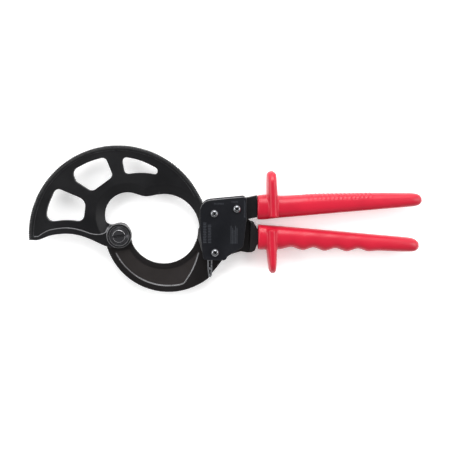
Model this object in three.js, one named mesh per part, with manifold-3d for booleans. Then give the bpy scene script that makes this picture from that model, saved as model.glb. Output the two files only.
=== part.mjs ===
// Two-handed ratchet cable cutter, lying on its back: +X runs along the tool to the handles, +Z is up.
// All sizes are millimetres. Outlines are drawn about the blade's pivot, and the whole group is then
// set down with the middle of its lowest plane at the origin.
import * as THREE from 'three';
import { mergeVertices } from 'three/addons/utils/BufferGeometryUtils.js';
import Module from 'manifold-3d';

const wasm = await Module();
wasm.setup();

// ---------------------------------------------------------------- driving dimensions
const GAP = 0.3; // play between parts that lie on each other
const COVER_T = 3.2; // head cover plates
const JAW_T = 6.0; // fixed jaw forging
const BLADE_T = 6.0; // toothed blade
const BACK_Z = [0, COVER_T];
const JAW_Z = [BACK_Z[1] + GAP, BACK_Z[1] + GAP + JAW_T];
const BLADE_Z = [JAW_Z[1] + GAP, JAW_Z[1] + GAP + BLADE_T];
const FRONT_Z = [BLADE_Z[1] + GAP, BLADE_Z[1] + GAP + COVER_T];
const MID_Z = (BACK_Z[0] + FRONT_Z[1]) / 2;

const TOOTH_PITCH = 1.25; // degrees
const TIP_R = 85.4;
const ROOT_R = 83.8;
const FIRST_TOOTH = -16.25; // degrees, measured from +X about the pivot
const LAST_TOOTH = 182.5;
const WEB_STEP = 1.0; // how far the blade's web lies below its rim and boss
const RIM_R = 80.3; // inner edge of the raised, toothed rim
const BOSS_R = 11.5;
const BOSS_TOP = BLADE_Z[1] + 1.4;

const JAW_HOLE = { x: 41.5, y: 5.2, r: 32.8 }; // the fixed jaw's cutting circle
const JAW_RIM = { x: 45.9, y: 5.5, r: 61.1 }; // its outer edge
const BITE = { x: 42.0, y: 5.6, r: 33.4 }; // the blade's large scallop
const THROAT = { x: 8.0, y: 19.0, r: 21.6 }; // the blade's small scallop
const EDGE_T = 1.2; // thickness left at a cutting edge
const BEVEL_W = 8.6; // width of the ground bevel behind it

const HANDLE_PIVOT = [89.6, 21.0];
const HANDLE_STOP = [110.8, 25.3];
const LEVER_PIVOT = [90.2, -15.9];
const HEAD_POINTS = [HANDLE_PIVOT, HANDLE_STOP, LEVER_PIVOT];
const SLEEVE_R = 3.5;
const SCREW_R = 2.0;
const CLEAR_R = 2.3; // hole that clears a screw
const SCREW_HEAD_R = 3.8;
const SCREW_HEAD_H = 2.3;
const NUT_FLATS = 7.0;
const NUT_H = 2.0;

const HANDLE_TRAVEL = 40; // degrees from closed to open
const DRIVE_PIVOT = [98.6, 11.0]; // centre of the drive pawl's round root
const DRIVE_NOSE_ANGLE = -2.45; // degrees about the blade's pivot
const HOLD_NOSE_ANGLE = -14.7;
const LEVER_RIVET = [86.0, -21.2];

// ---------------------------------------------------------------- materials
function material(name, color, roughness, metalness) {
  const made = new THREE.MeshStandardMaterial({ color, roughness, metalness });
  made.name = name;
  return made;
}
const BLACKED = material('blackened_steel', 0x242426, 0.45, 0.7);
const FORGED = material('forged_steel', 0x2e2b2b, 0.55, 0.6);
const COATED = material('coated_plate', 0x1b1c21, 0.5, 0.4);
const BRIGHT = material('bright_steel', 0xb9babd, 0.25, 1.0);
const HARDENED = material('hardened_steel', 0x6d6e72, 0.35, 1.0);
const SPRING = material('spring_steel', 0x8b8d92, 0.3, 1.0);
const GRIP = material('red_plastic', 0xd2203a, 0.35, 0.0);

// ---------------------------------------------------------------- helpers
const rad = THREE.MathUtils.degToRad;

function polar(r, degrees, x = 0, y = 0) {
  return [x + r * Math.cos(rad(degrees)), y + r * Math.sin(rad(degrees))];
}

// Points along an arc, from one angle to another in degrees, both ends included.
function arc(x, y, r, from, to, step = 6) {
  const count = Math.max(1, Math.round(Math.abs(to - from) / step));
  const points = [];
  for (let i = 0; i <= count; i += 1) {
    points.push(polar(r, from + ((to - from) * i) / count, x, y));
  }
  return points;
}

// A smooth curve through a few points, sampled evenly.
function smooth(points, count) {
  const curve = new THREE.SplineCurve(points.map((p) => new THREE.Vector2(...p)));
  return curve.getPoints(count).map((p) => [p.x, p.y]);
}

// A polygon whose corners [x, y, radius] are rounded off.
function rounded(corners, steps = 5) {
  const points = [];
  corners.forEach(([x, y, r], i) => {
    const before = corners[(i + corners.length - 1) % corners.length];
    const after = corners[(i + 1) % corners.length];
    if (!r) {
      points.push([x, y]);
      return;
    }
    const corner = new THREE.Vector2(x, y);
    const inward = new THREE.Vector2(before[0] - x, before[1] - y).normalize();
    const outward = new THREE.Vector2(after[0] - x, after[1] - y).normalize();
    const half = Math.acos(THREE.MathUtils.clamp(inward.dot(outward), -1, 1)) / 2;
    const reach = r / Math.tan(half);
    const start = corner.clone().addScaledVector(inward, reach);
    const end = corner.clone().addScaledVector(outward, reach);
    const bisector = inward.clone().add(outward).normalize();
    const centre = corner.clone().addScaledVector(bisector, r / Math.sin(half));
    const from = Math.atan2(start.y - centre.y, start.x - centre.x);
    let sweep = Math.atan2(end.y - centre.y, end.x - centre.x) - from;
    sweep -= 2 * Math.PI * Math.round(sweep / (2 * Math.PI));
    for (let k = 0; k <= steps; k += 1) {
      const a = from + (sweep * k) / steps;
      points.push([centre.x + r * Math.cos(a), centre.y + r * Math.sin(a)]);
    }
  });
  return points;
}

function circle(x, y, r, sides = 32) {
  return arc(x, y, r, 0, 360, 360 / sides).slice(0, -1);
}

// A flat plate from an outline, with holes, between two heights.
function plate(outline, holes, z0, z1) {
  const shape = new THREE.Shape(outline.map((p) => new THREE.Vector2(...p)));
  holes.forEach((hole) => {
    shape.holes.push(new THREE.Path(hole.map((p) => new THREE.Vector2(...p))));
  });
  const geometry = new THREE.ExtrudeGeometry(shape, { depth: z1 - z0, bevelEnabled: false });
  return geometry.translate(0, 0, z0);
}

// A turned part about a vertical axis, from [radius, height] points, anticlockwise, that start and
// end on the axis or run once round a ring.
function turned(profile, x, y, sides = 32) {
  const points = profile.map((p) => new THREE.Vector2(...p));
  const geometry = new THREE.LatheGeometry(points, sides);
  return geometry.rotateX(Math.PI / 2).translate(x, y, 0);
}

function ring(inner, outer, z0, z1, x, y, sides = 32) {
  const profile = [[inner, z0], [outer, z0], [outer, z1], [inner, z1], [inner, z0]];
  return turned(profile, x, y, sides);
}

function disc(r, z0, z1, x, y, sides = 32) {
  const geometry = new THREE.CylinderGeometry(r, r, z1 - z0, sides);
  return geometry.rotateX(Math.PI / 2).translate(x, y, (z0 + z1) / 2);
}

// ---------------------------------------------------------------- solids for cutting and joining
function solid(geometry) {
  const bare = geometry.clone();
  bare.deleteAttribute('normal');
  bare.deleteAttribute('uv');
  const merged = mergeVertices(bare, 1e-4);
  const index = merged.index.array;
  const kept = [];
  for (let i = 0; i < index.length; i += 3) {
    const [a, b, c] = [index[i], index[i + 1], index[i + 2]];
    if (a !== b && b !== c && a !== c) {
      kept.push(a, b, c);
    }
  }
  const vertProperties = new Float32Array(merged.attributes.position.array);
  return new wasm.Manifold(new wasm.Mesh({ numProp: 3, vertProperties, triVerts: new Uint32Array(kept) }));
}

function cut(body, ...tools) {
  return tools.reduce((left, tool) => left.subtract(solid(tool)), body);
}

function join(body, ...more) {
  return more.reduce((left, part) => left.add(solid(part)), body);
}

const group = new THREE.Group();
const model = new THREE.Group();
group.add(model);

// Adds one named piece, from a geometry or from a cut solid.
function piece(name, shape, look) {
  let geometry = shape;
  if (!shape.isBufferGeometry) {
    const result = shape.getMesh();
    geometry = new THREE.BufferGeometry();
    geometry.setAttribute('position', new THREE.BufferAttribute(result.vertProperties, 3));
    geometry.setIndex(new THREE.BufferAttribute(result.triVerts, 1));
    geometry.computeVertexNormals();
  }
  const mesh = new THREE.Mesh(geometry, look);
  mesh.name = name;
  model.add(mesh);
  return mesh;
}

// ---------------------------------------------------------------- blade
function toothedRim() {
  const points = [];
  const count = Math.round((LAST_TOOTH - FIRST_TOOTH) / TOOTH_PITCH);
  for (let i = 0; i < count; i += 1) {
    const start = FIRST_TOOTH + i * TOOTH_PITCH;
    points.push(polar(ROOT_R, start));
    points.push(polar(TIP_R, start + 0.85 * TOOTH_PITCH));
  }
  points.push(polar(ROOT_R, LAST_TOOTH));
  return points;
}

const TAIL_EDGE = smooth([
  [-80.9, -3.9], [-75.1, -3.6], [-63.7, 0.6], [-49.6, 2.0], [-38.3, 0.6], [-27.1, -3.3], [-12.8, -10.0],
  [-4.4, -11.2],
], 26);
const TAIL_RIDGE = smooth([
  [-76.0, -0.6], [-68.3, 4.3], [-60.7, 6.4], [-51.3, 7.4], [-42.0, 6.7], [-32.6, 4.1], [-25.1, 1.6],
  [-16.5, 1.4], [-10.4, 4.6],
], 28);

// The blade's inner edge, from the pivot boss round both scallops to the hidden nose.
function cuttingEdge() {
  const throat = arc(THROAT.x, THROAT.y, THROAT.r, 194, 80, 7);
  const cusp = [[17.5, 38.6], [21.4, 37.3], [25.5, 36.8], [30.0, 37.2], [35.0, 38.3]];
  const bite = arc(BITE.x, BITE.y, BITE.r, 90, -16.5, 6);
  const neck = [[-3, 10.9], [-8.6, 10.5], [-11.6, 11.8]];
  return [...arc(0, 0, BOSS_R, -105, 74, 11), ...neck, ...throat, ...cusp, ...bite];
}

const WINDOWS = [
  [
    [-58.6, 45.6, 5.5], [-30.6, 33.4, 8.5], [-33.6, 13.2, 6.0], [-49.3, 15.2, 60], [-69.6, 12.6, 6.5],
    [-66.8, 28.0, 50],
  ],
  [
    [-11.9, 74.0, 4.6], [-27.5, 69.6, 60], [-43.6, 61.0, 6.5], [-39.8, 51.2, 4.0], [-25.1, 41.4, 6.0],
    [-5.0, 56.0, 4.6],
  ],
  [
    [3.0, 74.6, 3.8], [21.5, 70.8, 60], [38.6, 62.0, 3.6], [35.0, 57.6, 2.6], [22.7, 60.4, 60],
    [6.0, 57.6, 4.0],
  ],
];

function bevelCone(centre, z0, z1, width) {
  const rise = (z1 - z0 - EDGE_T) / width;
  const top = 2;
  const mouth = centre.r + width + top / rise;
  const profile = [[0, z0 + EDGE_T], [centre.r, z0 + EDGE_T], [mouth, z1 + top], [0, z1 + top]];
  return turned(profile, centre.x, centre.y, 60);
}

function cuttingBlade() {
  const [z0, z1] = BLADE_Z;
  const webTop = z1 - WEB_STEP;
  const outline = [...toothedRim(), ...TAIL_EDGE, ...cuttingEdge()];
  const windows = WINDOWS.map((corners) => rounded(corners));
  const recess = [
    ...arc(0, 0, RIM_R, -18, 180.4, 5), ...TAIL_RIDGE, [-9.5, 9.5], [-6, 14], [42, 6], [66, -8], [74, -20],
  ];
  let blade = cut(solid(plate(outline, windows, z0, z1)), plate(recess, [], webTop, z1 + 3));
  const bevels = join(
    solid(bevelCone(BITE, z0, webTop, BEVEL_W)),
    bevelCone(THROAT, z0, webTop, BEVEL_W),
  );
  const guarded = join(solid(disc(BOSS_R + 1.5, z0 - 1, z1 + 5, 0, 0)), plate([
    ...TAIL_RIDGE, [0, 11.6], [0, -30], [-80, -30],
  ], [], z0 - 1, z1 + 5));
  blade = blade.subtract(bevels.subtract(guarded));
  blade = join(blade, ring(9.2, BOSS_R, z0 + 1, BOSS_TOP, 0, 0, 48));
  return cut(blade, disc(5.6, z0 - 1, z1 + 5, 0, 0), disc(9.2, z1 - 1.2, z1 + 5, 0, 0, 48));
}

// ---------------------------------------------------------------- fixed jaw and its tang
const TANG = [[130.8, -9.5], [262, -13.4], [262, -7.0], [130.8, 4.9]];
const TANG_PAD = [[130.6, -8.2], [150, -8.4], [150, 2.6], [130.6, 3.6]];
function jawOutline() {
  const under = [[86.4, -38.6], [92.0, -31.6], [97.9, -23.9], [106.5, -18.8], [115.1, -16.3], [120.8, -17.4]];
  const heel = [[125.2, -17.4], [128.6, -15.6], [129.4, -12.4]];
  const shoulder = [[128.6, 9.6], [127.2, 12.2], [123.6, 13.1]];
  const head = [
    [121.5, 15.5], [121.5, 31.5], [118.2, 35.3], [88.4, 33.4], [80.2, 28.6], [77.4, 22.4], [75.9, 8.0],
  ];
  return [
    ...arc(0, 0, BOSS_R, 62, 196, 12), ...arc(JAW_RIM.x, JAW_RIM.y, JAW_RIM.r, 196.5, 308, 5),
    ...under, ...heel, ...TANG, [129.8, 7.6], ...shoulder, ...head,
    ...arc(JAW_HOLE.x, JAW_HOLE.y, JAW_HOLE.r, 0, -182, 7),
  ];
}

function fixedJaw() {
  const [z0, z1] = JAW_Z;
  const holes = HEAD_POINTS.map(([x, y]) => circle(x, y, CLEAR_R, 20));
  holes.push(circle(0, 0, 5.8));
  const dish = [
    ...arc(JAW_HOLE.x, JAW_HOLE.y, JAW_HOLE.r + 5.2, -150, -33, 6), ...arc(0, 0, 76.5, -13, -38, 4),
    ...arc(JAW_RIM.x, JAW_RIM.y, JAW_RIM.r - 6.2, -79, -157, 5),
  ];
  const backBevel = turned([
    [0, z0 - 2], [JAW_HOLE.r + 7.0, z0 - 2], [JAW_HOLE.r + 7.0, z0], [JAW_HOLE.r, z1 - EDGE_T],
    [0, z1 - EDGE_T],
  ], JAW_HOLE.x, JAW_HOLE.y, 60);
  const kept = disc(BOSS_R + 2, z0 - 3, z1 + 1, 0, 0);
  const head = plate([[70, -60], [140, -60], [140, 40], [70, 40]], [], z0 - 3, z1 + 1);
  const bevel = solid(backBevel).subtract(solid(kept)).subtract(solid(head));
  let jaw = solid(plate(jawOutline(), holes, z0, z1));
  jaw = cut(jaw, plate(dish, [], z1 - 0.9, z1 + 1)).subtract(bevel);
  const heelPad = [[123.0, -16.6], [128.2, -14.8], ...TANG_PAD, [127.4, 8.4], [126.6, 11.6], [124.0, 12.2]];
  const seat = [[94.8, -7.4], [103.2, -7.4], [103.2, -3.4], [94.8, -3.4]];
  return join(jaw, plate(heelPad, [], z1 - 1, BLADE_Z[1] - 1), plate(seat, [], z1 - 1, BLADE_Z[1] - 0.2));
}

// ---------------------------------------------------------------- head covers and their fasteners
const COVER_OUTLINE = rounded([
  [75.9, 6.0, 30], [76.0, 33.0, 11], [118.0, 36.9, 2.2], [119.9, 35.0, 1.2], [119.9, 15.0, 8],
  [116.8, -10.7, 2.5], [103.3, -18.0, 6], [99.8, -23.4, 2.5], [79.0, -22.8, 3],
]);

function cover([z0, z1], nutPockets) {
  const holes = HEAD_POINTS.map(([x, y]) => circle(x, y, CLEAR_R, 20));
  let body = solid(plate(COVER_OUTLINE, holes, z0, z1));
  if (nutPockets) {
    HEAD_POINTS.forEach(([x, y]) => {
      body = cut(body, disc((NUT_FLATS + 2 * GAP) / Math.sqrt(3), z0 - 1, z0 + NUT_H + GAP, x, y, 6));
    });
  }
  return body;
}

function buttonScrew([x, y]) {
  const seat = FRONT_Z[1] + 0.05;
  const top = seat + SCREW_HEAD_H;
  const head = [
    [0, BACK_Z[0] + 0.4], [SCREW_R, BACK_Z[0] + 0.4], [SCREW_R, seat], [SCREW_HEAD_R, seat],
    [SCREW_HEAD_R, seat + 0.5], [SCREW_HEAD_R * 0.9, seat + 1.3], [SCREW_HEAD_R * 0.68, seat + 2.0],
    [SCREW_HEAD_R * 0.5, top], [0, top],
  ];
  const body = solid(turned(head, x, y, 24));
  return cut(body, disc(1.45, top - 1.5, top + 1, x, y, 6));
}

function thinNut([x, y]) {
  const [z0, z1] = [BACK_Z[0] + 0.1, BACK_Z[0] + NUT_H];
  return cut(solid(disc(NUT_FLATS / Math.sqrt(3), z0, z1, x, y, 6)), disc(CLEAR_R, z0 - 1, z1 + 1, x, y, 20));
}

function sleeve([x, y]) {
  return ring(CLEAR_R, SLEEVE_R, JAW_Z[1] + 0.1, FRONT_Z[0] - 0.1, x, y, 24);
}

// ---------------------------------------------------------------- blade pivot
const PIVOT_SHANK_R = 3.8;
const PIVOT_BORE_R = 4.1;
function pivotScrew() {
  const seat = BLADE_Z[1] + 0.3;
  const top = seat + 2.9;
  const profile = [
    [0, 0.9], [PIVOT_SHANK_R, 0.9], [PIVOT_SHANK_R, seat], [6.1, seat], [6.1, top - 0.6], [5.5, top],
    [0, top],
  ];
  const body = solid(turned(profile, 0, 0, 40));
  const slot = new THREE.BoxGeometry(14, 1.5, 3).rotateZ(rad(9)).translate(0, 0, top + 0.2);
  return cut(body, slot);
}

// ---------------------------------------------------------------- bars inside the grips
const NECK_X = 130.0; // where both grips begin
const BAR_END_X = 262;
const UPPER_BAR = [[NECK_X, 19.2], [BAR_END_X, 29.4], [BAR_END_X, 35.6], [NECK_X, 33.6]];

// The pocket in a grip for a bar with the given corners: lower front, lower end, upper end, upper front.
function pocketFor([a, b, c, d], z0, z1) {
  const play = GAP + 0.05;
  const lift = (p, q, x) => p[1] + ((q[1] - p[1]) * (x - p[0])) / (q[0] - p[0]);
  const [front, end] = [a[0] - 10, b[0] + 1];
  const outline = [
    [front, lift(a, b, front) - play], [end, lift(a, b, end) - play], [end, lift(d, c, end) + play],
    [front, lift(d, c, front) + play],
  ];
  return plate(outline, [], z0 - GAP, z1 + GAP);
}

// ---------------------------------------------------------------- upper handle
function handleBar() {
  const [z0, z1] = [BLADE_Z[0] + 0.05, BLADE_Z[1] - 0.05];
  const [px, py] = HANDLE_PIVOT;
  const slotR = Math.hypot(HANDLE_STOP[0] - px, HANDLE_STOP[1] - py);
  const slotTop = THREE.MathUtils.radToDeg(Math.atan2(HANDLE_STOP[1] - py, HANDLE_STOP[0] - px));
  const slotBottom = slotTop - HANDLE_TRAVEL;
  const wide = SLEEVE_R + 0.3;
  const slot = [
    ...arc(px, py, slotR + wide, slotBottom, slotTop, 6),
    ...arc(...polar(slotR, slotTop, px, py), wide, slotTop + 10, slotTop + 170, 20),
    ...arc(px, py, slotR - wide, slotTop, slotBottom, 6),
    ...arc(...polar(slotR, slotBottom, px, py), wide, slotBottom + 190, slotBottom + 350, 20),
  ];
  const outline = [
    ...arc(px, py, 5.8, 100, 262, 15), [91.2, 13.2], [94.0, 11.4], [98.9, 4.6], [102.6, 4.0],
    [102.6, -2.4], [107.0, -2.4], [112.2, 3.4], [118.4, 8.6], [121.0, 15.2], [124.0, 16.0], [NECK_X, 17.1],
    ...UPPER_BAR,
    [NECK_X, 37.9], [127.0, 37.3], [121.6, 36.1], [117.0, 35.6], [98, 33.6], [91.5, 29.0],
  ];
  const socket = [
    ...arc(...DRIVE_PIVOT, 4.35, 282, 484, 14), polar(22, 138, ...DRIVE_PIVOT),
    polar(34, 205, ...DRIVE_PIVOT), polar(30, 262, ...DRIVE_PIVOT),
  ];
  let bar = solid(plate(outline, [circle(px, py, SLEEVE_R + 0.1)], z0, z1));
  bar = cut(bar, plate(slot, [], z0 - 1, z1 + 1));
  const eye = solid(disc(6.6, z0 - 2, z1 + 2, px, py, 48));
  const bore = solid(disc(SLEEVE_R + 0.1, z0 - 3, z1 + 3, px, py));
  const clearance = solid(plate(socket, [], z0 - 1, z1 + 1)).subtract(eye.subtract(bore));
  return bar.subtract(clearance);
}

function drivePawl() {
  const nose = polar(TIP_R - 0.7, DRIVE_NOSE_ANGLE);
  const [dx, dy] = DRIVE_PIVOT;
  const outline = [
    ...arc(dx, dy, 4.0, -70, 166, 14), [90.6, 5.2], [nose[0] + 2.4, nose[1] + 2.9], nose,
    [nose[0] + 3.6, nose[1] - 0.1], [91.6, -1.6], [97.0, 4.2],
  ];
  return plate(outline, [], BLADE_Z[0] + 0.3, BLADE_Z[1] - 0.3);
}

// ---------------------------------------------------------------- holding pawl and release lever
function holdingPawl() {
  const nose = polar(TIP_R - 0.6, HOLD_NOSE_ANGLE);
  const [px, py] = LEVER_PIVOT;
  const outline = [
    ...arc(px, py, 5.7, 52, 178, 14), [nose[0] + 2.0, nose[1] + 1.2], nose, [nose[0] + 2.4, nose[1] - 0.7],
    [86.6, -24.4], [89.4, -22.2], ...arc(px, py, 5.7, -70, -30, 14), [101.6, -18.6], [102.6, -15.2],
    [95.4, -13.0],
  ];
  const holes = [circle(px, py, SLEEVE_R + 0.1), circle(...LEVER_RIVET, 1.1, 16)];
  return plate(outline, holes, BLADE_Z[0] + 0.1, BLADE_Z[0] + 3.2);
}

const LEVER_TIP = [85.4, -38.4];
function releaseLever() {
  const [z0, z1] = [BLADE_Z[0] + 3.5, BLADE_Z[1] - 0.5];
  const [px, py] = LEVER_PIVOT;
  const outline = [
    ...arc(px, py, 5.2, -60, 170, 14), [84.0, -19.0], [83.1, -24.0], [83.0, -31.0], [83.6, -36.6],
    ...arc(...LEVER_TIP, 1.7, 200, 345, 20), [87.4, -36.0], [87.5, -30.0], [87.6, -24.0], [90.4, -21.6],
  ];
  const holes = [circle(px, py, SLEEVE_R + 0.1), circle(...LEVER_RIVET, 1.1, 16)];
  const hollows = [
    rounded([[84.2, -24.2, 0.6], [84.2, -31.2, 0.6], [86.4, -31.2, 0.6], [86.5, -24.2, 0.6]], 2),
    rounded([[84.3, -33.0, 0.5], [84.9, -38.0, 0.5], [86.0, -38.0, 0.5], [86.3, -33.0, 0.5]], 2),
  ];
  let lever = solid(plate(outline, holes, z0, z1));
  hollows.forEach((hollow) => {
    lever = cut(lever, plate(hollow, [], z0 + 0.8, z1 + 1));
  });
  return lever;
}

// ---------------------------------------------------------------- springs
class Helix extends THREE.Curve {
  constructor(start, end, radius, turns) {
    super();
    this.start = new THREE.Vector3(...start);
    this.end = new THREE.Vector3(...end);
    this.radius = radius;
    this.turns = turns;
    const along = this.end.clone().sub(this.start).normalize();
    this.side = new THREE.Vector3(0, 0, 1);
    this.other = new THREE.Vector3().crossVectors(along, this.side);
  }

  getPoint(t, target = new THREE.Vector3()) {
    const a = 2 * Math.PI * this.turns * t;
    target.lerpVectors(this.start, this.end, t);
    target.addScaledVector(this.side, this.radius * Math.cos(a));
    return target.addScaledVector(this.other, this.radius * Math.sin(a));
  }
}

function coilSpring(start, end, radius, turns) {
  const wire = new THREE.Shape(circle(0, 0, 0.42, 6).map((p) => new THREE.Vector2(...p)));
  const extrudePath = new Helix(start, end, radius, turns);
  return new THREE.ExtrudeGeometry(wire, { steps: turns * 9, bevelEnabled: false, extrudePath });
}

// ---------------------------------------------------------------- grips
// Stations along a grip: [x, upper edge y, lower edge y, half depth]
const UPPER_STATIONS = [
  [130.4, 37.3, 14.6, 9.6], [138, 38.2, 14.6, 10.6], [152, 37.2, 16.1, 10.8], [170, 38.0, 17.6, 10.6],
  [189, 39.0, 19.2, 10.4], [235, 39.7, 23.0, 9.4], [270, 39.6, 25.9, 8.6], [281, 39.2, 26.9, 8.0],
  [285.4, 37.6, 28.3, 6.2], [287.3, 34.6, 30.8, 3.0],
];
const LOWER_STATIONS = [
  [131.2, 9.8, -14.2, 9.6], [139, 9.2, -14.6, 10.6], [152, 8.1, -14.0, 10.8], [163.9, 7.0, -13.1, 10.6],
  [174.2, 6.1, -15.1, 10.4], [184.4, 5.2, -13.6, 10.2], [194.8, 4.2, -15.8, 10.0], [205.4, 3.2, -14.4, 9.8],
  [216.2, 2.2, -16.4, 9.6], [227.0, 1.2, -14.8, 9.4], [237.0, 0.3, -16.5, 9.2], [246.6, -0.6, -15.9, 9.0],
  [262, -2.0, -16.6, 8.8], [278, -3.6, -16.9, 8.2], [283.4, -5.6, -16.0, 6.2], [285.6, -8.6, -13.2, 3.0],
];

// A rounded bar: a cylinder whose rings are moved out to the stations' edges.
function gripBody(stations) {
  const sides = 16;
  const rings = 30;
  const top = smooth(stations.map((s) => [s[0], s[1]]), rings);
  const bottom = smooth(stations.map((s) => [s[0], s[2]]), rings);
  const depth = smooth(stations.map((s) => [s[0], s[3]]), rings);
  const geometry = new THREE.CylinderGeometry(1, 1, 1, sides, rings);
  const position = geometry.attributes.position;
  for (let i = 0; i < position.count; i += 1) {
    const k = Math.round((0.5 - position.getY(i)) * rings);
    const centre = (top[k][1] + bottom[k][1]) / 2;
    const [u, v] = [position.getX(i), position.getZ(i)];
    const square = 1 / Math.pow(Math.pow(Math.abs(u), 2.6) + Math.pow(Math.abs(v), 2.6) + 1e-12, 1 / 2.6);
    const scale = Math.hypot(u, v) < 0.5 ? 0 : square;
    const y = centre + scale * v * (top[k][1] - bottom[k][1]) / 2;
    position.setXYZ(i, top[k][0], y, MID_Z - scale * u * depth[k][1]);
  }
  return geometry;
}

// The hand guard: a tongue across the handle, thin along the tool.
function guard(x0, x1, rootY, tipY) {
  const out = Math.sign(tipY - rootY);
  const outline = [
    [-13.0, rootY - out * 21.5], [-13.4, rootY - out * 10], [-13.2, rootY + out * 3], [-11.6, tipY - out * 7],
    [-8.6, tipY - out * 2.4], [-4.4, tipY - out * 0.4], [0, tipY], [4.4, tipY - out * 0.4],
    [8.6, tipY - out * 2.4],
    [11.6, tipY - out * 7], [13.2, rootY + out * 3], [13.4, rootY - out * 10], [13.0, rootY - out * 21.5],
  ];
  const ordered = out > 0 ? outline.slice().reverse() : outline;
  const shape = new THREE.Shape(ordered.map(([z, y]) => new THREE.Vector2(z, y)));
  const geometry = new THREE.ExtrudeGeometry(shape, {
    depth: x1 - x0 - 3,
    bevelEnabled: true,
    bevelThickness: 1.5,
    bevelSize: 1.5,
    bevelOffset: -1.5,
    bevelSegments: 2,
  });
  return geometry.rotateY(Math.PI / 2).translate(x0 + 1.5, 0, MID_Z);
}

function grip(stations, guardShape, pocket) {
  return join(solid(gripBody(stations)), guardShape).subtract(pocket);
}

// ---------------------------------------------------------------- assembly
piece('cutting_blade', cuttingBlade(), BLACKED);
piece('fixed_jaw', fixedJaw(), FORGED);
piece('front_cover', cover(FRONT_Z, false), COATED);
piece('back_cover', cover(BACK_Z, true), COATED);

['handle_pivot', 'handle_stop', 'lever_pivot'].forEach((name, i) => {
  piece(`${name}_screw`, buttonScrew(HEAD_POINTS[i]), BRIGHT);
  piece(`${name}_sleeve`, sleeve(HEAD_POINTS[i]), HARDENED);
  piece(`${name}_nut`, thinNut(HEAD_POINTS[i]), HARDENED);
});

piece('pivot_screw', pivotScrew(), BLACKED);
piece('pivot_bush', ring(PIVOT_BORE_R, 5.5, JAW_Z[0] + 0.3, BLADE_Z[1] - 1.4, 0, 0, 24), HARDENED);
piece('pivot_washer', ring(PIVOT_BORE_R, 8.6, BLADE_Z[1] - 1.1, BLADE_Z[1], 0, 0, 32), HARDENED);
const pivotHex = solid(disc(7.6, 0.9, JAW_Z[0] - 0.1, 0, 0, 6));
piece('pivot_nut', cut(pivotHex, disc(PIVOT_BORE_R, 0, 5, 0, 0)), HARDENED);

piece('upper_handle_bar', handleBar(), BLACKED);
piece('drive_pawl', drivePawl(), HARDENED);
piece('holding_pawl', holdingPawl(), HARDENED);
piece('release_lever', releaseLever(), BRIGHT);
piece('lever_rivet', disc(1.0, BLADE_Z[0] + 0.2, BLADE_Z[1] - 0.6, ...LEVER_RIVET, 16), HARDENED);

const SPRING_R = 1.9;
const SPRING_TURNS = 4;
const holdingSpring = coilSpring([98.6, -8.1, 12.6], [98.6, -13.0, 12.6], SPRING_R, SPRING_TURNS);
piece('holding_pawl_spring', holdingSpring, SPRING);
piece('drive_pawl_spring', coilSpring([96.9, 0.8, 12.8], [102.0, 0.8, 12.8], SPRING_R, SPRING_TURNS), SPRING);

const upperPocket = solid(pocketFor(UPPER_BAR, ...BLADE_Z));
const lowerPocket = join(solid(pocketFor(TANG, ...JAW_Z)), pocketFor(TANG_PAD, JAW_Z[0], BLADE_Z[1] - 1));
piece('upper_grip', grip(UPPER_STATIONS, guard(139.6, 149.4, 38, 60.9), upperPocket), GRIP);
piece('lower_grip', grip(LOWER_STATIONS, guard(139.4, 149.6, -15, -37.6), lowerPocket), GRIP);

// Set the tool down: the middle of its lowest plane becomes the origin.
const bounds = new THREE.Box3().setFromObject(model);
const middle = bounds.getCenter(new THREE.Vector3());
model.position.set(-middle.x, -middle.y, -bounds.min.z);

export default group;
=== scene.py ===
"""Looks of the ratchet cable cutter: finished meshes, materials, floor, light and camera round the frame."""
import math

import bmesh
import bpy
from mathutils import Matrix, Vector


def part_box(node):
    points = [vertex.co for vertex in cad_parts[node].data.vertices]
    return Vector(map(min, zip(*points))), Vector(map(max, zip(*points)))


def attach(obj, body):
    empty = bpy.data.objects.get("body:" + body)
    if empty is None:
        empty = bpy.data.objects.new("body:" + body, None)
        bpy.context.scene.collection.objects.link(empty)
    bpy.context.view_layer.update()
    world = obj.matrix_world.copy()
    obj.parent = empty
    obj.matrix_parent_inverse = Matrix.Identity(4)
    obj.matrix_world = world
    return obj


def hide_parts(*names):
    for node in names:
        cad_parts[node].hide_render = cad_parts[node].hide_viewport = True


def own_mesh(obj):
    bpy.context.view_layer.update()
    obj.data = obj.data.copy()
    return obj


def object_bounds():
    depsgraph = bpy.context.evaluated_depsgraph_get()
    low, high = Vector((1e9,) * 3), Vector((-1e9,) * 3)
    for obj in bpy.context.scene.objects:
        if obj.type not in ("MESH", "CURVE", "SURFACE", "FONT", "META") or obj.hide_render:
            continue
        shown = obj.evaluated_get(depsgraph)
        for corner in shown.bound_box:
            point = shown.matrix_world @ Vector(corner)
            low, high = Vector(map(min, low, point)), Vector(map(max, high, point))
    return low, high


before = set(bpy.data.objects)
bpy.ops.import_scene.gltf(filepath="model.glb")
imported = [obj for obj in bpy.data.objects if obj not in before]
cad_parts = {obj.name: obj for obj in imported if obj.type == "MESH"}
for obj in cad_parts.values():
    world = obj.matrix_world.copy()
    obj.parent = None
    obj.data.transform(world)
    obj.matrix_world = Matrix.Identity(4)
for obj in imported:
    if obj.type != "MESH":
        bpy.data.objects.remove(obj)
cad_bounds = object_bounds()
MM = 0.001


# ---------------------------------------------------------------- places, taken from the frame
def mid(node):
    low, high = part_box(node)
    return (Vector(low) + Vector(high)) / 2


def top_of(node):
    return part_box(node)[1].z


FLOOR_Z = cad_bounds[0][2]
PIVOT = mid("pivot_screw")
BLADE_HIGH = Vector(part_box("cutting_blade")[1])
RIM_TOP = BLADE_HIGH.z - 1.4 * MM  # the boss round the pivot stands higher than the rim
COVER_LOW, COVER_HIGH = (Vector(corner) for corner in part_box("front_cover"))


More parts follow.
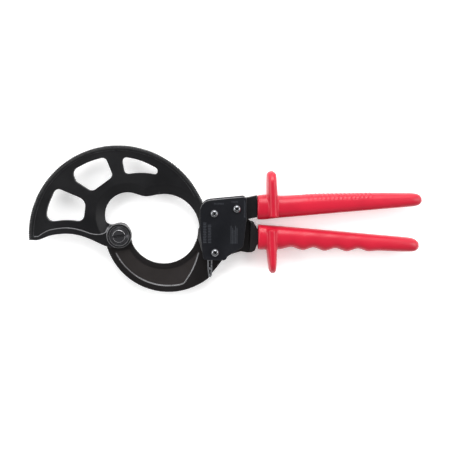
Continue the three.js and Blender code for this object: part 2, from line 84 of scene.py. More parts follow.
# ---------------------------------------------------------------- node helpers for materials
class Shade:
    """One material's node tree, with short calls for the nodes that the looks need."""

    def __init__(self, name, color, roughness, metallic=0.0, coat=0.0, specular=0.5):
        self.material = bpy.data.materials.new(name)
        self.material.use_nodes = True
        self.tree = self.material.node_tree
        self.shader = self.tree.nodes["Principled BSDF"]
        self.shader.inputs["Base Color"].default_value = (*color, 1.0)
        self.shader.inputs["Roughness"].default_value = roughness
        self.shader.inputs["Metallic"].default_value = metallic
        self.shader.inputs["Coat Weight"].default_value = coat
        self.shader.inputs["Specular IOR Level"].default_value = specular
        self.place = self.node("ShaderNodeTexCoord").outputs["Object"]

    def node(self, kind, **settings):
        made = self.tree.nodes.new(kind)
        for key, value in settings.items():
            setattr(made, key, value)
        return made

    def link(self, out, socket):
        self.tree.links.new(out, socket)

    def stretch(self, scale):
        """Object coordinates, scaled differently along each axis."""
        made = self.node("ShaderNodeMapping")
        made.inputs["Scale"].default_value = scale
        self.link(self.place, made.inputs["Vector"])
        return made.outputs["Vector"]

    def noise(self, scale, detail=4.0, vector=None):
        made = self.node("ShaderNodeTexNoise")
        made.inputs["Scale"].default_value = scale
        made.inputs["Detail"].default_value = detail
        made.inputs["Roughness"].default_value = 0.55
        self.link(vector if vector is not None else self.place, made.inputs["Vector"])
        return made.outputs["Fac"]

    def ramp(self, value, low, high, out_low=0.0, out_high=1.0):
        made = self.node("ShaderNodeMapRange")
        numbers = {"From Min": low, "From Max": high, "To Min": out_low, "To Max": out_high}
        for key, number in numbers.items():
            made.inputs[key].default_value = number
        self.link(value, made.inputs["Value"])
        return made.outputs["Result"]

    def mix(self, factor, color_a, color_b):
        made = self.node("ShaderNodeMix", data_type="RGBA")
        for socket, value in ((made.inputs["A"], color_a), (made.inputs["B"], color_b)):
            if isinstance(value, tuple):
                socket.default_value = (*value, 1.0)
            else:
                self.link(value, socket)
        self.link(factor, made.inputs["Factor"])
        return made.outputs["Result"]

    def math(self, operation, a, b):
        made = self.node("ShaderNodeMath", operation=operation)
        self.link(a, made.inputs[0])
        self.link(b, made.inputs[1])
        return made.outputs[0]

    def worn_edges(self):
        """One on worn outside edges, nought elsewhere."""
        return self.ramp(self.node("ShaderNodeNewGeometry").outputs["Pointiness"], low=0.52, high=0.62)

    def bump(self, height, distance, strength, after=None):
        made = self.node("ShaderNodeBump")
        made.inputs["Distance"].default_value = distance
        made.inputs["Strength"].default_value = strength
        self.link(height, made.inputs["Height"])
        if after is not None:
            self.link(after, made.inputs["Normal"])
        return made.outputs["Normal"]

    def finish(self, color=None, roughness=None, normal=None):
        for key, value in (("Base Color", color), ("Roughness", roughness), ("Normal", normal)):
            if value is not None:
                self.link(value, self.shader.inputs[key])
        return self.material


# ---------------------------------------------------------------- materials
def dimmed(color, factor):
    return tuple(channel * factor for channel in color)


def dark_steel(name, color, worn, roughness, grain=900.0, cloud=35.0):
    """Blackened, shot-blasted steel: a fine grain, soft clouds and edges rubbed to the worn colour."""
    made = Shade(name, color, roughness, metallic=0.1, specular=0.3)
    clouds = made.noise(cloud, detail=5.0)
    fine = made.noise(grain, detail=3.0)
    patchy = made.ramp(fine, 0.3, 0.7, out_low=0.25, out_high=0.8)
    tone = made.mix(made.ramp(clouds, 0.35, 0.7), color, dimmed(color, 1.45))
    tone = made.mix(made.math("MULTIPLY", made.worn_edges(), patchy), tone, worn)
    both = made.math("ADD", clouds, fine)
    rough = made.ramp(both, 0.7, 1.3, out_low=roughness - 0.07, out_high=roughness + 0.09)
    pits = made.bump(fine, distance=0.12 * MM, strength=0.35)
    dents = made.bump(made.noise(220.0, detail=2.0), distance=0.2 * MM, strength=0.18, after=pits)
    return made.finish(tone, rough, dents)


def bright_steel(name, color, roughness):
    """Bare or plated steel with fine brushed streaks."""
    made = Shade(name, color, roughness, metallic=1.0)
    brushed = made.noise(1.0, detail=4.0, vector=made.stretch((400.0, 400.0, 3000.0)))
    tone = made.mix(made.ramp(brushed, 0.3, 0.7), dimmed(color, 0.82), color)
    rough = made.ramp(brushed, 0.3, 0.7, out_low=roughness - 0.05, out_high=roughness + 0.1)
    return made.finish(tone, rough, made.bump(brushed, distance=0.05 * MM, strength=0.25))


def red_plastic():
    """Moulded grip plastic: slightly clouded red with a fine leathery skin."""
    color = (0.46, 0.006, 0.025)
    paler = (0.52, 0.009, 0.030)
    made = Shade("grip_red", color, 0.34, coat=0.08, specular=0.36)
    made.shader.inputs["Coat Roughness"].default_value = 0.25
    clouds = made.noise(22.0, detail=3.0)
    leather = made.noise(1500.0, detail=2.0)
    tone = made.mix(made.ramp(clouds, 0.3, 0.7), dimmed(color, 0.9), paler)
    rough = made.ramp(leather, 0.3, 0.7, out_low=0.30, out_high=0.42)
    return made.finish(tone, rough, made.bump(leather, distance=0.08 * MM, strength=0.22))


# Each dark steel is given its colour, the colour of its worn edges and its roughness.
LOOKS = {
    "blade": dark_steel("blade_black", (0.0045, 0.0045, 0.0052), (0.10, 0.10, 0.105), 0.36),
    # painted highlight: one flank of each tooth is lighter, so that the teeth show as ticks
    "tooth": dark_steel("tooth_flank_highlight", (0.022, 0.022, 0.023), (0.30, 0.30, 0.31), 0.28),
    # lighter, glossier rounded edges: partly rubbed wear, partly a painted highlight
    "edge": dark_steel("edge_wear_and_highlight", (0.030, 0.030, 0.032), (0.20, 0.20, 0.21), 0.26),
    # painted highlight: a much lighter steel on edges and ridges that catch the light
    "bead": dark_steel("bead_painted_highlight", (0.12, 0.12, 0.125), (0.40, 0.40, 0.41), 0.22),
    "jaw": dark_steel("jaw_black", (0.0060, 0.0050, 0.0052), (0.09, 0.08, 0.08), 0.40, cloud=28.0),
    "jaw_floor": dark_steel(
        "jaw_brown_floor", (0.0150, 0.0125, 0.0122), (0.09, 0.08, 0.08), 0.46, cloud=28.0
    ),
    "cover": dark_steel("cover_coat", (0.0022, 0.0024, 0.0040), (0.07, 0.075, 0.085), 0.36, grain=1400.0),
    "mark": dark_steel("cover_marks", (0.016, 0.017, 0.021), (0.05, 0.055, 0.065), 0.40, grain=1400.0),
    "bar": dark_steel("bar_black", (0.0030, 0.0026, 0.0034), (0.06, 0.06, 0.06), 0.38),
    "pivot": dark_steel("pivot_black", (0.022, 0.022, 0.024), (0.28, 0.28, 0.30), 0.20),
    # lighter steel on the pivot's chamfers: partly rubbed wear, partly a painted highlight
    "pivot_edge": bright_steel("pivot_chamfer_wear_and_highlight", (0.42, 0.42, 0.43), 0.16),
    # painted shade: a dark, dull fill for socket insides and slot floors
    "socket": dark_steel("socket_painted_shade", (0.004, 0.004, 0.005), (0.05, 0.05, 0.05), 0.5),
    "bright": bright_steel("screw_bright", (0.26, 0.265, 0.28), 0.16),
    "zinc": bright_steel("lever_zinc", (0.36, 0.37, 0.39), 0.28),
    "inner": bright_steel("inner_steel", (0.36, 0.36, 0.38), 0.34),
    "spring": bright_steel("spring_steel", (0.45, 0.46, 0.48), 0.28),
    "red": red_plastic(),
}


# ---------------------------------------------------------------- making pieces
WELD = 0.002 * MM  # corners closer than this are one
FLAT_DEGREES = 1.0  # facets that turn less than this are one flat face
CORNER_DEGREES = 32  # edges that turn more than this are rounded
MACHINED_SHARP_DEGREES = 40  # and those that still turn more than this shade as sharp
FORGED_SHARP_DEGREES = 38
FORGED_FACES_KEPT = 0.16  # share of a forging's fine faces left once its flats are thinned
LIT_EDGE_DEGREES = 14.0
LEVEL = 0.9  # a surface whose normal rises more than this lies level


def dress(obj, *looks):
    """The first look covers the whole piece; zone() and lit_edges() hand faces to the others."""
    obj.data.materials.clear()
    for look in looks:
        obj.data.materials.append(LOOKS[look])


def zone(obj, slot_number, chosen):
    """Faces for which chosen(centre, normal) is true get the numbered look."""
    for face in obj.data.polygons:
        if chosen(face.center, face.normal):
            face.material_index = slot_number


def slanted(normal, flattest=0.96):
    """Whether a surface slopes upward: neither upright nor nearly level."""
    return 0.2 < normal.z < flattest


def lit_edges(obj, slot_number, reach):
    """Upward faces on rounded edges, at points for which reach(point) is true, get the numbered look, a
    lighter steel that paints a highlight there.
    """
    mesh = bmesh.new()
    mesh.from_mesh(obj.data)
    limit = math.radians(LIT_EDGE_DEGREES)
    for face in mesh.faces:
        turning = any(edge.calc_face_angle(0.0) > limit for edge in face.edges)
        if slanted(face.normal) and turning and reach(face.calc_center_median()):
            face.material_index = slot_number
    mesh.to_mesh(obj.data)
    mesh.free()


def enlist(obj, looks, body, *stands_for, slot=None):
    """Gives a piece its looks and its body, and hides the CAD nodes that it stands for; the slot argument is
    not used.
    """
    dress(obj, *looks.split())
    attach(obj, body)
    if stands_for:
        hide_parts(*stands_for)
    return obj


def new_object(name, mesh):
    obj = bpy.data.objects.new(name, mesh)
    bpy.context.scene.collection.objects.link(obj)
    return obj


def object_from(name, mesh):
    """A new object that takes over a bmesh."""
    obj = new_object(name, bpy.data.meshes.new(name))
    mesh.to_mesh(obj.data)
    mesh.free()
    return obj


def copy_of(node, name):
    """A new object with a copy of a CAD node's mesh."""
    return new_object(name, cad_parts[node].data.copy())


def apply_modifiers(obj):
    bpy.context.view_layer.update()
    evaluated = obj.evaluated_get(bpy.context.evaluated_depsgraph_get())
    mesh = bpy.data.meshes.new_from_object(evaluated)
    obj.modifiers.clear()
    obj.data = mesh


def one_skin(obj, voxel):
    """Re-skins a piece with even square faces."""
    skin = obj.modifiers.new("one_skin", "REMESH")
    skin.mode = "VOXEL"
    skin.voxel_size = voxel
    apply_modifiers(obj)


def soften(obj, passes, group=""):
    """Relaxes a piece's points, or only those of a vertex group."""
    softened = obj.modifiers.new("softened", "SMOOTH")
    softened.iterations = passes
    softened.vertex_group = group
    apply_modifiers(obj)


def shade_flats(obj, sharp_degrees):
    """Smooth shading that keeps large faces flat and sharp edges sharp."""
    obj.data.shade_smooth()
    obj.data.set_sharp_from_angle(angle=math.radians(sharp_degrees))
    flat = obj.modifiers.new("face_weighted", "WEIGHTED_NORMAL")
    flat.keep_sharp = True
    apply_modifiers(obj)


def machined(node, name, bevel):
    """A CAD node's shape with flat faces merged and its sharp edges rounded to a radius in mm.
    The rounded edges take the second look."""
    obj = copy_of(node, name)
    dress(obj, "bar", "bar")
    mesh = bmesh.new()
    mesh.from_mesh(obj.data)
    bmesh.ops.remove_doubles(mesh, verts=mesh.verts, dist=WELD)
    flat = math.radians(FLAT_DEGREES)
    bmesh.ops.dissolve_limit(mesh, angle_limit=flat, verts=mesh.verts, edges=mesh.edges)
    layer = mesh.edges.layers.float.new("bevel_weight_edge")
    for edge in mesh.edges:
        if len(edge.link_faces) == 2 and edge.calc_face_angle(0.0) > math.radians(CORNER_DEGREES):
            edge[layer] = 1.0
    mesh.to_mesh(obj.data)
    mesh.free()
    rounder = obj.modifiers.new("rounded_edges", "BEVEL")
    rounder.width = bevel * MM
    rounder.segments = 3
    rounder.limit_method = "WEIGHT"
    rounder.use_clamp_overlap = False
    rounder.loop_slide = False
    rounder.material = 1
    apply_modifiers(obj)
    shade_flats(obj, MACHINED_SHARP_DEGREES)
    return obj


def forged(node, name, voxel, passes, crisp=None, engrave=None):
    """A CAD node's shape re-skinned with fine square faces, in mm, and softened like a forging.
    crisp(point) marks what stays as it was machined; engrave(mesh) moves points before flats are thinned."""
    obj = copy_of(node, name)
    one_skin(obj, voxel * MM)
    soft = obj.vertex_groups.new(name="soft")
    soft.add([v.index for v in obj.data.vertices if not (crisp and crisp(v.co))], 1.0, "REPLACE")
    soften(obj, passes, "soft")
    if engrave:
        engrave(obj.data)
    thin = obj.modifiers.new("flats_thinned", "DECIMATE")
    thin.ratio = FORGED_FACES_KEPT
    apply_modifiers(obj)
    shade_flats(obj, FORGED_SHARP_DEGREES)
    return obj


# ---------------------------------------------------------------- the blade's teeth
TIP_R = BLADE_HIGH.y - PIVOT.y  # the teeth's tips reach straight above the pivot
CRISP_R = TIP_R - 1.9 * MM
TOOTH_PITCH = 1.25  # degrees
GAP_END_R = TIP_R - 3.4 * MM
GAP_DEPTH = 0.55 * MM
GAP_NARROWNESS = 3.2  # a gap's run-out is 2 / 3.2 of a pitch wide
RIM_FACE = 0.7  # the normal of the rim's two faces rises or falls at least this much
LIT_FLANK_PHASE = (0.35, 0.95)  # the part of a pitch on which a tooth's bright side gets a painted highlight


def from_pivot(point):
    return (point.xy - PIVOT.xy).length


def toothed(point):
    return from_pivot(point) > CRISP_R


def tooth_phase(point):
    """Nought at the gap before a tooth and one at the next gap, going round the pivot."""
    away = point.xy - PIVOT.xy
    return (math.degrees(math.atan2(away.y, away.x)) / TOOTH_PITCH) % 1.0


def on_tooth(centre, _normal):
    return from_pivot(centre) > GAP_END_R + MM and LIT_FLANK_PHASE[0] < tooth_phase(centre) < LIT_FLANK_PHASE[1]


def run_out_gaps(mesh):
    """Each gap between teeth runs out over the rim's two faces, as a milling cutter leaves it."""
    normals = [vertex.normal.copy() for vertex in mesh.vertices]
    for vertex, normal in zip(mesh.vertices, normals):
        reach = from_pivot(vertex.co) - GAP_END_R
        if reach > 0 and abs(normal.z) >= RIM_FACE:
            phase = tooth_phase(vertex.co)
            gap = max(0.0, 1.0 - GAP_NARROWNESS * min(phase, 1.0 - phase))
            vertex.co.z -= math.copysign(GAP_DEPTH * gap * min(1.0, reach / MM), normal.z)


# ---------------------------------------------------------------- blade and jaw
RIM_STEP = (77 * MM, 82 * MM)  # radii between which the web steps up to the rim
BOSS_EDGE_R = 12.2 * MM
TAIL_RIGHT, TAIL_TOP, TAIL_R = -6 * MM, 11 * MM, 79 * MM  # the ridge along the blade's tail, from the pivot
JAW_HOLE = PIVOT + Vector((41.5, 5.2, 0)) * MM  # the centre of the jaw's cutting circle
BITE_CLEAR_R = 40 * MM  # the jaw's edges nearer to that centre than this get no painted highlight
BOSS_CLEAR_R = 18 * MM  # and so do those nearer to the pivot than this
JAW_FACE = top_of("fixed_jaw") - 6.1 * MM  # the pad on the tang stands higher than the jaw's face
DISH_DEPTHS = (0.2 * MM, 1.0 * MM)  # the dish's floor lies between these depths under the face


def on_rim_step(point):
    return RIM_STEP[0] < from_pivot(point) < RIM_STEP[1]


def on_tail_or_boss(point):
    away = point - PIVOT
    on_tail = away.x < TAIL_RIGHT and away.y < TAIL_TOP and away.length < TAIL_R
    return on_tail or from_pivot(point) < BOSS_EDGE_R


def on_jaw_highlight_edge(point):
    clear_of_bite = (point.xy - JAW_HOLE.xy).length > BITE_CLEAR_R
    return clear_of_bite and from_pivot(point) > BOSS_CLEAR_R and point.x < COVER_LOW.x


def in_dish(centre, normal):
    return normal.z > LEVEL and DISH_DEPTHS[0] < JAW_FACE - centre.z < DISH_DEPTHS[1]


def blade_and_jaw():
    blade = forged("cutting_blade", "blade_sector", 0.32, passes=5, crisp=toothed, engrave=run_out_gaps)
    enlist(blade, "blade edge tooth bead", "blade", "cutting_blade")
    # the rim step's upward rounded edges take the lighter edge look, partly a painted highlight
    lit_edges(blade, 1, on_rim_step)
    # the tail ridge and the boss's edges get a painted highlight
    lit_edges(blade, 3, on_tail_or_boss)
    # one flank of each tooth gets a painted highlight
    zone(blade, 2, on_tooth)
    jaw = forged("fixed_jaw", "jaw_forging", 0.35, passes=6)
    enlist(jaw, "jaw bead jaw_floor", "frame", "fixed_jaw")
    zone(jaw, 2, in_dish)
    # the jaw's outer rounded edges get a painted highlight
    lit_edges(jaw, 1, on_jaw_highlight_edge)


# ---------------------------------------------------------------- smaller steel pieces
FASTENERS = ("handle_pivot", "handle_stop", "lever_pivot")
HIDDEN_STEEL = ("handle_pivot_sleeve", "handle_stop_sleeve", "lever_pivot_sleeve", "pivot_bush", "drive_pawl",
                "holding_pawl", "lever_rivet")
SOCKET_R = 1.45 * MM
SOCKET_RIM = 0.3 * MM
PIVOT_HEAD_EDGE = 1.2 * MM
SLOT_MARGIN = 0.5 * MM  # level faces further below the lever's top than this are its slot's floor


def screws():
    """Button heads are bright, with painted shade inside the socket."""
    for part in FASTENERS:
        screw = part + "_screw"
        axis, top = mid(screw), top_of(screw)

        def in_socket(centre, _normal):
            return (centre.xy - axis.xy).length < SOCKET_R and centre.z < top - SOCKET_RIM

        button = enlist(machined(screw, part + "_button", 0.3), "bright bright socket", "frame", screw)
        # the socket's inside gets painted shade
        zone(button, 2, in_socket)
        enlist(machined(part + "_nut", part + "_nut_hex", 0.25), "inner inner", "frame", part + "_nut")


def release_lever():
    """Bright plate with a pressed-in slot, its floor painted dark with shade."""
    top = top_of("release_lever")

    def in_slot(centre, normal):
        return normal.z > LEVEL and centre.z < top - SLOT_MARGIN

    lever = machined("release_lever", "lever_bright", 0.25)
    enlist(lever, "zinc bright socket", "release_lever", "release_lever")
    # the slot's floor gets painted shade
    zone(lever, 2, in_slot)


def covers():
    """The front cover's upper edge gets a painted highlight on the faces that turn towards the top softbox.
    """
    # all the covers' rounded edges take the lighter edge look, partly a painted highlight
    cover = enlist(machined("front_cover", "cover_front", 0.5), "cover edge bead", "frame", "front_cover")
    # faces turned towards +Y, the top softbox's side, get the brighter painted highlight
    zone(cover, 2, lambda centre, normal: normal.y > 0.3 and slanted(normal, 0.97))
    enlist(machined("back_cover", "cover_back", 0.5), "cover edge", "frame", "back_cover")


def blade_pivot():
    """The slotted head's edge is lighter steel: partly rubbed wear, partly a painted highlight."""
    top = top_of("pivot_screw")

    def on_head_edge(centre, normal):
        return slanted(normal, LEVEL) and centre.z > top - PIVOT_HEAD_EDGE

    head = enlist(machined("pivot_screw", "pivot_head", 0.3), "pivot pivot_edge", "frame", "pivot_screw")
    # the head's chamfer takes the lighter steel, partly a painted highlight
    zone(head, 1, on_head_edge)
    washer = machined("pivot_washer", "pivot_washer_round", 0.2)
    enlist(washer, "pivot pivot_edge", "frame", "pivot_washer")
    enlist(machined("pivot_nut", "pivot_nut_hex", 0.35), "inner inner", "frame", "pivot_nut")


def springs():
    """Both pawl springs get spring steel; the holding pawl's spring is a smooth-shaded copy carried by the
    frame.
    """
    dress(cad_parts["drive_pawl_spring"], "spring")
    coil = copy_of("holding_pawl_spring", "holding_coil")
    coil.data.shade_smooth()
    enlist(coil, "spring", "frame", "holding_pawl_spring")
    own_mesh(coil)


def steel():
    blade_and_jaw()
    screws()
    release_lever()
    covers()
    handle = machined("upper_handle_bar", "handle_bar", 0.5)
    enlist(handle, "bar bar", "upper_handle", "upper_handle_bar")
    blade_pivot()
    for node in HIDDEN_STEEL:
        dress(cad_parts[node], "inner")
    springs()


# ---------------------------------------------------------------- plain marks on the cover
MARK_HEIGHT = 0.16
MARK_BEVEL = 0.05


def marks(name, bars):
    """A block of thin raised bars on the front cover, each (x, y, width, height) in mm from the pivot."""
    mesh = bmesh.new()
    for x, y, width, height in bars:
        made = bmesh.ops.create_cube(mesh, size=1.0)["verts"]
        bmesh.ops.scale(mesh, vec=Vector((width, height, MARK_HEIGHT)) * MM, verts=made)
        place = Vector((PIVOT.x + x * MM, PIVOT.y + y * MM, COVER_HIGH.z))
        bmesh.ops.translate(mesh, vec=place, verts=made)
    bmesh.ops.bevel(mesh, geom=mesh.edges[:], offset=MARK_BEVEL * MM, segments=1, affect="EDGES")
    enlist(object_from(name, mesh), "mark", "frame")


def upright_bars(left, bottom, width, height, count):
    """Bars side by side that stand on one line, in three lengths."""
    pitch = width / count
    for i in range(count):
        length = height * (1 - 0.12 * (i % 3))
        yield left + (i + 0.5) * pitch, bottom + length / 2, pitch * 0.45, length


def level_bars(left, bottom, width, height, count):
    """Bars above each other that start on one line, in two lengths."""
    pitch = height / count
    for i in range(count):
        length = width * (1 - 0.1 * (i % 2))
        yield left + length / 2, bottom + (i + 0.5) * pitch, length, pitch * 0.5


def cover_marks():
    marks("mark_column_left", level_bars(79.0, -7.0, width=3.2, height=20.0, count=13))
    marks("mark_column_inner", level_bars(83.6, -7.0, width=3.0, height=18.0, count=12))
    marks("mark_lines_right", upright_bars(104.6, -7.4, width=7.0, height=17.0, count=5))
    marks("mark_row_top", upright_bars(89.0, 29.6, width=9.5, height=1.6, count=7))
    marks("mark_row_corner", upright_bars(105.4, 31.4, width=6.5, height=1.4, count=5))
    marks("mark_fold_outer", upright_bars(117.3, 17.0, width=1.6, height=16.5, count=2))


# ---------------------------------------------------------------- grips
GRIP_SIDES = 40
GRIP_RINGS = 150
GRIP_SQUARENESS = 2.5
GRIP_VOXEL = 0.6 * MM
GRIP_SOFTENING = 9
GRIP_MID = mid("upper_grip").z
RING_CORNERS = 12  # a ring of the CAD grip's outside has at least this many
RING_HEIGHT = 3 * MM
PLACES = 5  # decimals of a metre, so that points 0.01 mm apart count as one

GUARD_X = PIVOT.x + 144.5 * MM
GUARD_WIDTH = 9.8 * MM
GUARD_CLEAR = 6 * MM
GUARD_LENGTH = 22.8 * MM
GUARD_BACK = 20.5 * MM  # how far the guard runs on into the grip
GUARD_TIP = 11.0 * MM  # the stretch in which its depth rounds off
GUARD_NOSE = 3.0 * MM  # the stretch in which its width does
GUARD_LEAN = 0.9 * MM
GUARD_HALF = top_of("upper_grip") - GRIP_MID
GUARD_THINNING = 0.06  # share of its depth that the guard loses towards its tip
GUARD_END = (0.2, 0.05)  # shares of its width and depth left at the very end
GUARD_RINGS = 40
GUARD_SQUARENESS = 3.2
UPPER_TAPER, LOWER_TAPER = 0.10, 0.36  # share of its width that each guard loses towards its tip

WAVE_START = PIVOT.x + 152.45 * MM
WAVE_PITCH = 21.3 * MM
WAVE_END = WAVE_START + 4 * WAVE_PITCH
WAVE_DEPTH = 1.15 * MM

RIB_START = PIVOT.x + 173 * MM
RIB_END = PIVOT.x + 242 * MM
RIB_PITCH = 4.0 * MM
RIB_HEIGHT = 0.32 * MM
RIB_FADE = 3 * MM
RIB_FLANK = 0.35  # ribs begin where the normal's y is this
RIB_BLEND = 0.15  # and reach their height when it is this much more


def superellipse(angle, power):
    """A point of a rounded square of half-size one."""
    c, s = math.cos(angle), math.sin(angle)
    scale = (abs(c) ** power + abs(s) ** power) ** (-1 / power)
    return c * scale, s * scale


def ring_points(power):
    return [superellipse(2 * math.pi * j / GRIP_SIDES, power) for j in range(GRIP_SIDES)]


def loft(mesh, rings):
    """Skins a list of rings of points and closes both ends."""
    rows = [[mesh.verts.new(point) for point in ring] for ring in rings]
    count = len(rows[0])
    for near, far in zip(rows, rows[1:]):
        for i in range(count):
            mesh.faces.new((near[i], near[(i + 1) % count], far[(i + 1) % count], far[i]))
    mesh.faces.new(rows[0][::-1])
    mesh.faces.new(rows[-1])


def measured(node):
    """The grip's own rings in the CAD node, away from the guard: (x, top, bottom, half depth)."""
    rings = {}
    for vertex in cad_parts[node].data.vertices:
        if abs(vertex.co.x - GUARD_X) >= GUARD_CLEAR:
            rings.setdefault(round(vertex.co.x, PLACES), []).append(vertex.co)
    found = []
    for x, points in sorted(rings.items()):
        ys = [point.y for point in points]
        depth = max(abs(point.z - GRIP_MID) for point in points)
        corners = {(round(point.y, PLACES), round(point.z, PLACES)) for point in points}
        if len(corners) >= RING_CORNERS and max(ys) - min(ys) > RING_HEIGHT:
            found.append((x, max(ys), min(ys), depth))
    return found


def between(rows, x):
    """Top, bottom and half depth at x, on a smooth curve through the measured rows."""
    i = max(1, min(len(rows) - 2, sum(row[0] < x for row in rows)))
    near, far = rows[i - 1], rows[i]
    before, after = rows[max(0, i - 2)], rows[min(len(rows) - 1, i + 1)]
    step = far[0] - near[0]
    t = min(1.0, max(0.0, (x - near[0]) / step))
    row = []
    for k in (1, 2, 3):
        slope_near = (far[k] - before[k]) / (far[0] - before[0]) * step
        slope_far = (after[k] - near[k]) / (after[0] - near[0]) * step
        row.append((2 * t**3 - 3 * t**2 + 1) * near[k] + (t**3 - 2 * t**2 + t) * slope_near
                   + (3 * t**2 - 2 * t**3) * far[k] + (t**3 - t**2) * slope_far)
    return row


def wave(x):
    """How far the surface is pressed in between two fingers' bulges."""
    if not WAVE_START < x < WAVE_END:
        return 0.0
    turn = 2 * math.pi * (x - WAVE_START - WAVE_PITCH / 2) / WAVE_PITCH
    return WAVE_DEPTH * (0.5 + 0.5 * math.cos(turn))


def bar_rings(rows, waves):
    """The grip's long body, with finger waves along its lower side if asked for."""
    start, end = rows[0][0], rows[-1][0]
    rings = []
    for i in range(GRIP_RINGS + 1):
        x = start + (end - start) * i / GRIP_RINGS
        top, bottom, depth = between(rows, x)
        if waves:
            bottom += wave(x)
        middle, half = (top + bottom) / 2, (top - bottom) / 2
        rings.append([(x, middle + v * half, GRIP_MID + u * depth) for u, v in ring_points(GRIP_SQUARENESS)])
    return rings


def guard_rings(root, tip, taper):
    """A tongue across the handle, from inside the grip to a narrower, rounded tip."""
    side = 1 if tip > root else -1
    length = abs(tip - root)
    rings = []
    for i in range(GUARD_RINGS + 1):
        along = -GUARD_BACK + (length + GUARD_BACK) * i / GUARD_RINGS
        share = max(0.0, along / length)
        left = max(0.0, length - along)
        end = math.sqrt(max(0.0, 1 - (1 - min(1.0, left / GUARD_TIP)) ** 2))
        nose = max(GUARD_END[0], min(1.0, math.sqrt(left / GUARD_NOSE)))
        half_z = GUARD_HALF * max(GUARD_END[1], end) * (1 - GUARD_THINNING * share)
        half_x = GUARD_WIDTH / 2 * (1 - taper * share) * nose
        x = GUARD_X - side * GUARD_LEAN * along / length
        y = root + side * along
        rings.append([(x + half_x * u, y, GRIP_MID + half_z * v) for u, v in ring_points(GUARD_SQUARENESS)])
    return rings


def raise_ribs(mesh):
    """Fine cross ribs on the upper flank, a plain pattern for a firm hold."""
    normals = [vertex.normal.copy() for vertex in mesh.vertices]
    for vertex, normal in zip(mesh.vertices, normals):
        x = vertex.co.x
        if RIB_START < x < RIB_END and normal.y > RIB_FLANK:
            ends = min((x - RIB_START) / RIB_FADE, (RIB_END - x) / RIB_FADE)
            fade = min(1.0, ends, (normal.y - RIB_FLANK) / RIB_BLEND)
            crest = max(0.0, math.sin(2 * math.pi * (x - RIB_START) / RIB_PITCH))
            vertex.co += normal * (RIB_HEIGHT * fade * crest)


def moulded_grip(node, name, body, root, tip, waves):
    """A grip as one plastic moulding: its long body, its guard, and finger waves or else fine ribs."""
    mesh = bmesh.new()
    loft(mesh, bar_rings(measured(node), waves))
    loft(mesh, guard_rings(root, tip, LOWER_TAPER if waves else UPPER_TAPER))
    bmesh.ops.recalc_face_normals(mesh, faces=mesh.faces)
    obj = object_from(name, mesh)
    one_skin(obj, GRIP_VOXEL)
    soften(obj, GRIP_SOFTENING)
    if not waves:
        raise_ribs(obj.data)
    obj.data.shade_smooth()
    enlist(obj, "red", body, node, slot="red_plastic")


def grips():
    upper_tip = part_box("upper_grip")[1].y
    lower_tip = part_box("lower_grip")[0].y
    moulded_grip("upper_grip", "grip_upper", "upper_handle", upper_tip - GUARD_LENGTH, upper_tip, waves=False)
    moulded_grip("lower_grip", "grip_lower", "frame", lower_tip + GUARD_LENGTH, lower_tip, waves=True)


# ---------------------------------------------------------------- floor and light
FLOOR_SIZE = 6.0
SOFTBOXES = {  # name: place in metres, size in metres, power in watts
    "top_softbox": ((0.0, 0.75, 0.62), 0.7, 9.0),
    "left_softbox": ((-0.75, 0.1, 0.55), 0.5, 3.5),
    "right_softbox": ((0.75, 0.1, 0.6), 0.5, 3.5),
}


def paper_floor():
    bpy.ops.mesh.primitive_plane_add(size=FLOOR_SIZE, location=(0, 0, FLOOR_Z))
    floor = bpy.context.object
    floor.name = "floor"
    paper = Shade("paper_floor", (0.96, 0.96, 0.96), 0.85, specular=0.1)
    paper.shader.inputs["Emission Color"].default_value = (1, 1, 1, 1)
    paper.shader.inputs["Emission Strength"].default_value = 0.3
    grain = paper.bump(paper.noise(300.0), distance=0.1 * MM, strength=0.1)
    floor.data.materials.append(paper.finish(normal=grain))


def softboxes():
    for name, (place, size, power) in SOFTBOXES.items():
        data = bpy.data.lights.new(name, "AREA")
        data.size = size
        data.energy = power
        lamp = new_object(name, data)
        lamp.location = place
        lamp.rotation_euler = Vector(place).to_track_quat("Z", "Y").to_euler()


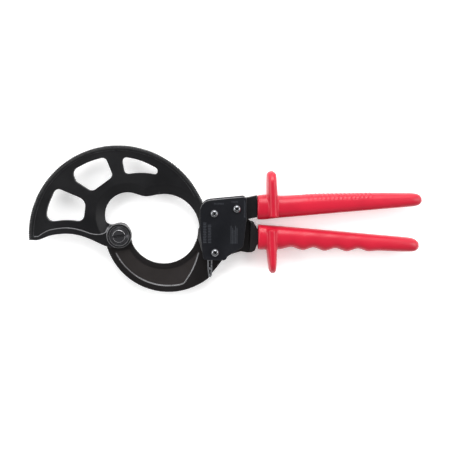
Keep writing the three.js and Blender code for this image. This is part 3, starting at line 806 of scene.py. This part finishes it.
def sky():
    """A white cyclorama: bright round the horizon, dim straight overhead, so that flat steel stays dark."""
    world = bpy.data.worlds.new("studio")
    bpy.context.scene.world = world
    world.use_nodes = True
    tree = world.node_tree
    split = tree.nodes.new("ShaderNodeSeparateXYZ")
    tree.links.new(tree.nodes.new("ShaderNodeTexCoord").outputs["Generated"], split.inputs["Vector"])

    def fade(axis, low, high, out_low, out_high):
        made = tree.nodes.new("ShaderNodeMapRange")
        numbers = {"From Min": low, "From Max": high, "To Min": out_low, "To Max": out_high}
        for key, number in numbers.items():
            made.inputs[key].default_value = number
        tree.links.new(split.outputs[axis], made.inputs["Value"])
        return made.outputs["Result"]

    product = tree.nodes.new("ShaderNodeMath")
    product.operation = "MULTIPLY"
    height_fade = fade("Z", low=0.55, high=0.9, out_low=1.0, out_high=0.22)
    side_fade = fade("Y", low=-0.7, high=0.5, out_low=0.55, out_high=1.15)
    tree.links.new(height_fade, product.inputs[0])
    tree.links.new(side_fade, product.inputs[1])
    background = tree.nodes["Background"]
    tree.links.new(product.outputs[0], background.inputs["Strength"])
    background.inputs["Color"].default_value = (1, 1, 1, 1)


def studio():
    paper_floor()
    bpy.context.scene.view_settings.view_transform = "Standard"
    sky()
    softboxes()


# ---------------------------------------------------------------- camera
VIEW_TILT = math.radians(6.5)
VIEW_TURN = math.radians(1.6)
VIEW_DISTANCE = 0.665
LENS = 56.0
SENSOR = 36.0
AIM = Vector((PIVOT.x + 99.8 * MM, PIVOT.y + 9.5 * MM, RIM_TOP - 4 * MM))


def camera():
    """Looks down at the tool from a little towards the blade's end and the upper handle's side."""
    data = bpy.data.cameras.new("camera")
    data.lens = LENS
    data.sensor_width = SENSOR
    data.clip_start = 0.01
    obj = new_object("camera", data)
    away = Vector((-math.sin(VIEW_TURN) * math.cos(VIEW_TILT), math.sin(VIEW_TILT),
                   math.cos(VIEW_TURN) * math.cos(VIEW_TILT)))
    right = Vector((0, 1, 0)).cross(away).normalized()
    level = Matrix((right, away.cross(right), away)).transposed()
    obj.location = AIM + away * VIEW_DISTANCE
    obj.rotation_euler = level.to_euler()
    bpy.context.scene.camera = obj


camera()
steel()
cover_marks()
grips()
studio()
